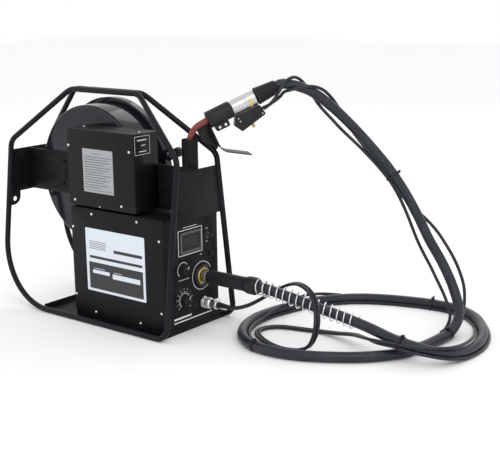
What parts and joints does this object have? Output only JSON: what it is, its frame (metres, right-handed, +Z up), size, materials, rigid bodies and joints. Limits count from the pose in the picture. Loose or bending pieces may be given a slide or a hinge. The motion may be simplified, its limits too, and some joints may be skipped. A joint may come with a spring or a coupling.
{
  "type": "wire feeder",
  "caption": "Portable suitcase welding wire feeder in a rod frame, with round wire drum, feed box, control panel, parked gun and torch lead.",
  "frame": {"origin": "underside of the base pan, in the middle of the rod frame's length and width, on the floor", "axes": "+X towards the front control panel, +Y towards the wire drum's lid, +Z up"},
  "size_m": [1.0899, 0.5666, 0.5393],
  "materials": {
    "black_steel": "satin black powder coat",
    "gloss_steel": "gloss black paint",
    "zinc_steel": "zinc plated",
    "copper_wire": "copper coated wire",
    "black_plastic": "moulded",
    "brass": "machined",
    "black_rubber": "smooth cable sheath",
    "red_sleeve": "insulating sleeve",
    "silver_alloy": "satin",
    "green_board": "printed board"
  },
  "bodies": {
    "root": {"near_hoop": "black_steel", "far_hoop": "black_steel", "base_pan": "black_steel", "rear_cross_plate": "black_steel", "front_cross_plate": "black_steel", "centre_plate": "black_steel", "torch_holder_tube": "black_steel", "drum_shell": "gloss_steel", "spool_axle": "zinc_steel", "upper_box_cover": "black_steel", "upper_box_back": "black_steel", "contactor": "black_plastic", "feed_box": "black_steel", "side_cover": "black_steel", "front_panel": "black_steel", "feed_plate": "silver_alloy", "gearbox": "silver_alloy", "feed_motor": "zinc_steel", "wire_conduit": "black_plastic", "euro_socket": "brass", "socket_flange": "black_plastic", "welding_wire": "copper_wire", "control_board": "green_board", "volt_meter": "black_plastic", "toggle_switch_body": "zinc_steel", "button_switch_body": "black_plastic", "control_socket": "zinc_steel", "control_plug": "zinc_steel", "torch_plug_handle": "black_rubber", "torch_lead": "black_rubber", "support_spring": "zinc_steel", "control_lead_a": "black_rubber", "control_lead_b": "black_rubber", "gun_neck": "red_sleeve", "gun_nozzle": "brass", "neck_clamp": "black_plastic", "gun_body": "silver_alloy", "gun_boot": "black_rubber", "trigger_switch_box": "black_plastic", "heat_shield": "black_plastic"},
    "lid": {"drum_lid": "gloss_steel"},
    "lid_screw": {"lid_knob": "black_plastic"},
    "spool": {"spool_hub": "black_plastic", "wire_coil": "copper_wire", "spool_retainer": "black_plastic"},
    "drive": {"drive_gear": "zinc_steel"},
    "roll_rear": {"lower_roll_rear": "zinc_steel"},
    "roll_front": {"lower_roll_front": "zinc_steel"},
    "arm_rear": {"pressure_arm_rear": "silver_alloy"},
    "arm_front": {"pressure_arm_front": "silver_alloy"},
    "idler_rear": {"idler_roll_rear": "zinc_steel"},
    "idler_front": {"idler_roll_front": "zinc_steel"},
    "tension_rear": {"pressure_knob_rear": "black_plastic"},
    "tension_front": {"pressure_knob_front": "black_plastic"},
    "voltage_dial": {"voltage_knob": "black_plastic"},
    "speed_dial": {"speed_knob": "black_plastic"},
    "toggle": {"toggle_lever": "zinc_steel"},
    "button": {"inch_button": "black_plastic"},
    "nut": {"plug_nut": "zinc_steel"},
    "trigger": {"trigger_pin": "brass"}
  },
  "joints": [
    {"name": "lid_hinge", "type": "hinge", "parent": "root", "child": "lid", "pos_m": [-0.2396, 0.066, 0.3133], "axis": [0, 0, 1], "range_deg": [0, 80]},
    {"name": "lid_knob_turn", "type": "hinge", "parent": "lid", "child": "lid_screw", "pos_m": [0.12892, 0.0816, 0.37002], "axis": [0, 1, 0], "continuous": true},
    {"name": "spool_turn", "type": "hinge", "parent": "root", "child": "spool", "pos_m": [-0.0566, 0.036, 0.3133], "axis": [0, 1, 0], "continuous": true},
    {"name": "drive_gear_turn", "type": "hinge", "parent": "root", "child": "drive", "pos_m": [0.174, 0.0194, 0.07808], "axis": [0, 1, 0], "continuous": true},
    {"name": "lower_roll_rear_turn", "type": "hinge", "parent": "root", "child": "roll_rear", "pos_m": [0.15, 0.0317, 0.0977], "axis": [0, 1, 0], "continuous": true},
    {"name": "lower_roll_front_turn", "type": "hinge", "parent": "root", "child": "roll_front", "pos_m": [0.198, 0.0317, 0.0977], "axis": [0, 1, 0], "continuous": true},
    {"name": "pressure_arm_rear_turn", "type": "hinge", "parent": "root", "child": "arm_rear", "pos_m": [0.128, 0.045, 0.152], "axis": [0, -1, 0], "range_deg": [0, 35]},
    {"name": "pressure_arm_front_turn", "type": "hinge", "parent": "root", "child": "arm_front", "pos_m": [0.22, 0.045, 0.152], "axis": [0, 1, 0], "range_deg": [0, 35]},
    {"name": "idler_roll_rear_turn", "type": "hinge", "parent": "arm_rear", "child": "idler_rear", "pos_m": [0.15, 0.0317, 0.1309], "axis": [0, 1, 0], "continuous": true},
    {"name": "idler_roll_front_turn", "type": "hinge", "parent": "arm_front", "child": "idler_front", "pos_m": [0.198, 0.0317, 0.1309], "axis": [0, 1, 0], "continuous": true},
    {"name": "pressure_knob_rear_turn", "type": "hinge", "parent": "arm_rear", "child": "tension_rear", "pos_m": [0.158, 0.045, 0.17], "axis": [0, 0, 1], "continuous": true},
    {"name": "pressure_knob_front_turn", "type": "hinge", "parent": "arm_front", "child": "tension_front", "pos_m": [0.19, 0.045, 0.17], "axis": [0, 0, 1], "continuous": true},
    {"name": "voltage_knob_turn", "type": "hinge", "parent": "root", "child": "voltage_dial", "pos_m": [0.2405, -0.0298, 0.1396], "axis": [1, 0, 0], "range_deg": [-140, 140]},
    {"name": "speed_knob_turn", "type": "hinge", "parent": "root", "child": "speed_dial", "pos_m": [0.2405, -0.0278, 0.0718], "axis": [1, 0, 0], "range_deg": [-140, 140]},
    {"name": "toggle_tilt", "type": "hinge", "parent": "root", "child": "toggle", "pos_m": [0.2405, 0.0513, 0.2022], "axis": [0, 1, 0], "range_deg": [-12, 12]},
    {"name": "inch_button_press", "type": "slide", "parent": "root", "child": "button", "axis": [-1, 0, 0], "range_m": [0, 0.002], "stiffness_N_per_m": 300},
    {"name": "plug_nut_turn", "type": "hinge", "parent": "root", "child": "nut", "pos_m": [0.255, 0.0317, 0.1143], "axis": [1, 0, 0], "continuous": true},
    {"name": "trigger_press", "type": "slide", "parent": "root", "child": "trigger", "axis": [-0.2614, -0.3116, 0.9135], "range_m": [0, 0.002], "stiffness_N_per_m": 300}
  ],
  "couplings": [
    {"joint": "lower_roll_rear_turn", "follows": "drive_gear_turn", "ratio": -1.3846},
    {"joint": "lower_roll_front_turn", "follows": "drive_gear_turn", "ratio": -1.3846}
  ]
}
